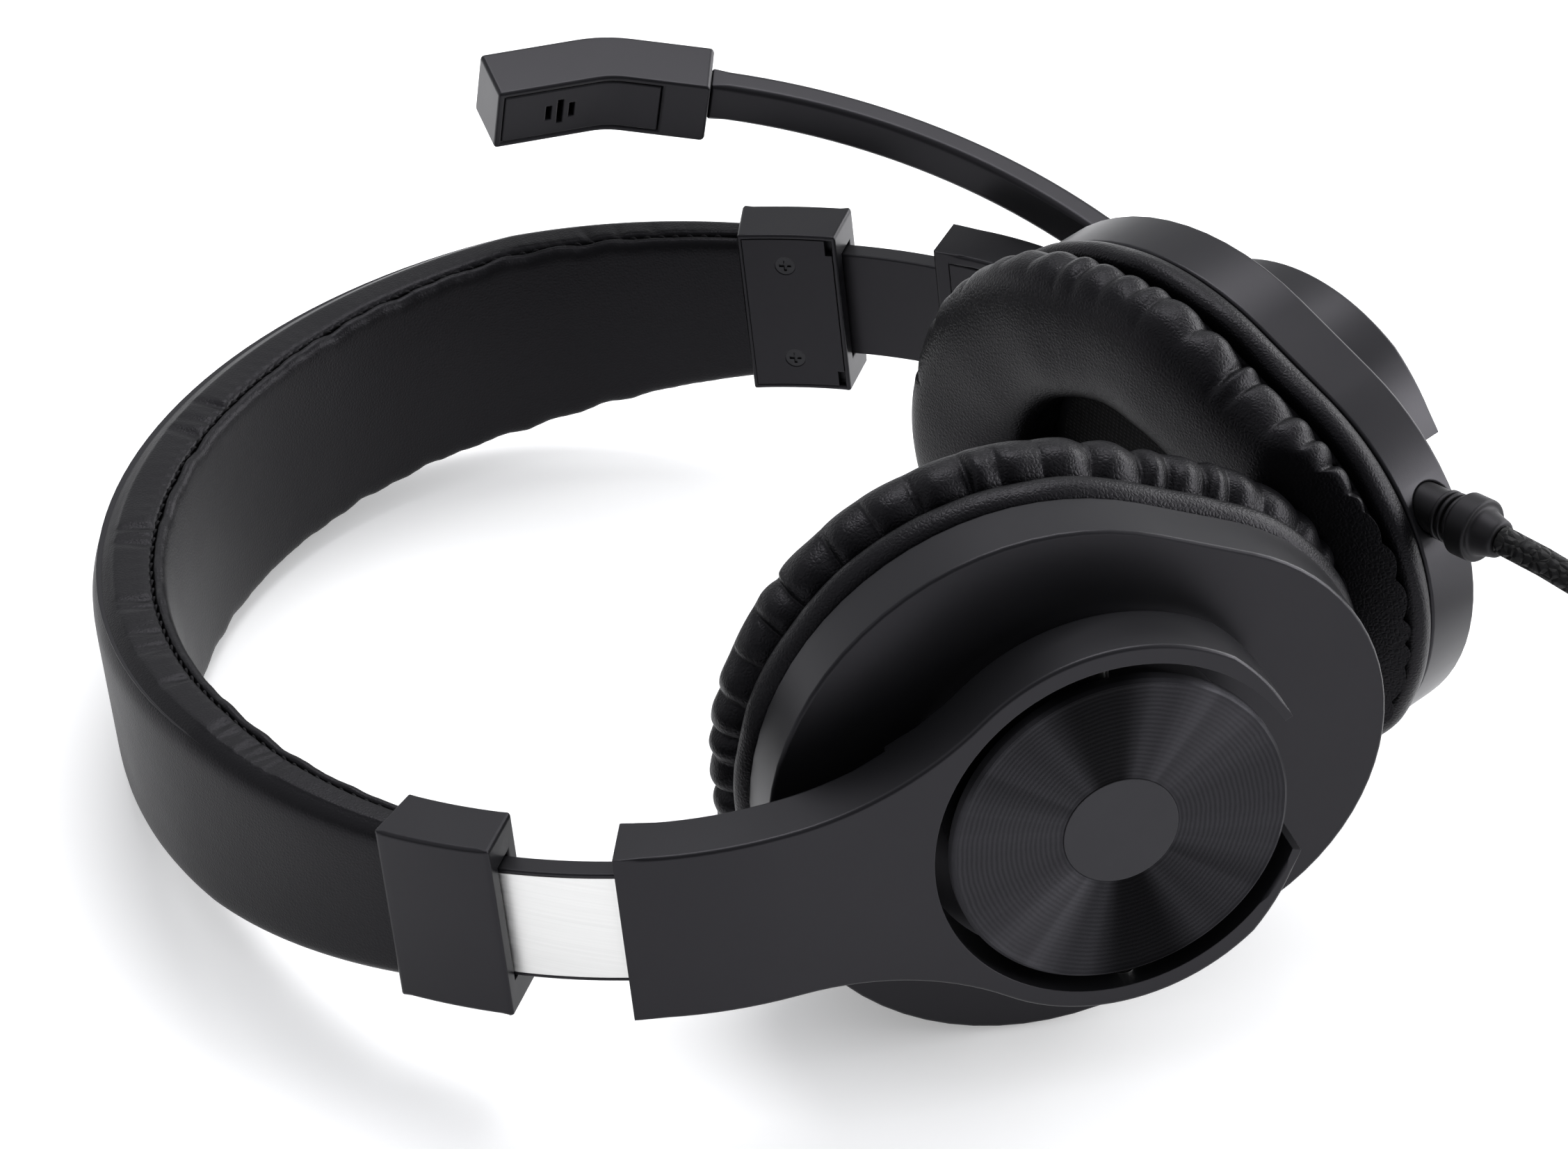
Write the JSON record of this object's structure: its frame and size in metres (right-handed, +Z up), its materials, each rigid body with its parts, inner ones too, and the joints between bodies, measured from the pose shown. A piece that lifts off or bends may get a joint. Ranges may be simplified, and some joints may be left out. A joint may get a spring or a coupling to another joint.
{
  "type": "gaming headset",
  "caption": "Over-ear headset with a padded sprung band, sliding yoke arms, tilting leatherette ear cups, a swing-down boom microphone and a braided cord.",
  "frame": {"origin": "on the surface that the headset lies on, under the middle of its box without the cord", "axes": "+X from the crown of the band towards the ear cups' lower ends, +Y from the plain cup towards the boom cup, +Z up as it lies"},
  "size_m": [0.3539, 0.1861, 0.0882],
  "materials": {
    "satin_black": "fine satin moulded black plastic",
    "hidden_plastic": "plain moulded black plastic",
    "leatherette": "soft black leatherette with a fine grain",
    "brushed_steel": "brushed along the arm",
    "dark_screw": "blackened steel",
    "turned_disc": "black anodised, turned in fine circles",
    "disc_centre": "matt dark grey",
    "magnet_steel": "plain plated steel",
    "diaphragm_film": "thin clear-brown film",
    "speaker_cloth": "thin black acoustic cloth",
    "circuit_board": "green solder mask",
    "soft_rubber": "matt black moulded rubber",
    "cord_braid": "black woven braid",
    "tie_fabric": "black hook-and-loop tape",
    "plug_metal": "gold-plated"
  },
  "bodies": {
    "headband": {"spring_strip": "brushed_steel", "band_liner": "hidden_plastic", "outer_cover": "leatherette", "inner_pad": "leatherette", "clamp_near": "satin_black", "clamp_far": "satin_black", "clamp_cover_near": "satin_black", "clamp_cover_far": "satin_black", "clamp_screws": "dark_screw", "slider_detents": "brushed_steel"},
    "arm_near": {"slider_near": "satin_black", "slider_plate_near": "brushed_steel", "yoke_near": "satin_black", "yoke_cover_near": "satin_black", "yoke_screws_near": "dark_screw"},
    "arm_far": {"slider_far": "satin_black", "slider_plate_far": "brushed_steel", "yoke_far": "satin_black", "yoke_cover_far": "satin_black", "yoke_screws_far": "dark_screw"},
    "cup_near": {"housing_near": "satin_black", "hub_near": "satin_black", "disc_near": "turned_disc", "badge_near": "disc_centre", "pivot_pins_near": "brushed_steel", "baffle_near": "hidden_plastic", "driver_frame_near": "hidden_plastic", "driver_magnet_near": "magnet_steel", "diaphragm_near": "diaphragm_film", "speaker_cloth_near": "speaker_cloth", "baffle_screws_near": "dark_screw", "cushion_skirt_near": "leatherette", "cushion_near": "leatherette"},
    "cup_far": {"housing_far": "satin_black", "hub_far": "satin_black", "pivot_pins_far": "brushed_steel", "baffle_far": "hidden_plastic", "driver_frame_far": "hidden_plastic", "driver_magnet_far": "magnet_steel", "diaphragm_far": "diaphragm_film", "speaker_cloth_far": "speaker_cloth", "baffle_screws_far": "dark_screw", "cushion_skirt_far": "leatherette", "cushion_far": "leatherette", "circuit_board": "circuit_board", "strain_relief": "soft_rubber", "cord_tube": "cord_braid", "cord_lead": "cord_braid", "cord_coil": "cord_braid", "cord_tie": "tie_fabric", "plug_shell": "soft_rubber", "plug_contact": "plug_metal"},
    "mic_boom": {"boom_disc": "turned_disc", "badge_far": "disc_centre", "boom_clip": "brushed_steel", "boom_arm": "satin_black", "mic_shell": "satin_black", "mic_cover": "satin_black", "mic_capsule": "magnet_steel"}
  },
  "joints": [
    {"name": "slide_near", "type": "hinge", "parent": "headband", "child": "arm_near", "pos_m": [-0.01435, -0.0038, 0.03244], "axis": [0.169, 0, -0.9856], "range_deg": [0, 11.4]},
    {"name": "slide_far", "type": "hinge", "parent": "headband", "child": "arm_far", "pos_m": [-0.01435, -0.0038, 0.03244], "axis": [-0.169, 0, 0.9856], "range_deg": [0, 11.4]},
    {"name": "tilt_near", "type": "hinge", "parent": "arm_near", "child": "cup_near", "pos_m": [0.06347, -0.04904, 0.04578], "axis": [0.169, 0, -0.9856], "range_deg": [0, 6]},
    {"name": "tilt_far", "type": "hinge", "parent": "arm_far", "child": "cup_far", "pos_m": [0.06718, 0.04747, 0.04642], "axis": [-0.169, 0, 0.9856], "range_deg": [0, 2]},
    {"name": "boom_swing", "type": "hinge", "parent": "cup_far", "child": "mic_boom", "pos_m": [0.06957, 0.05184, 0.04683], "axis": [0.4778, 0.8746, 0.0819], "range_deg": [-17, 133]}
  ]
}
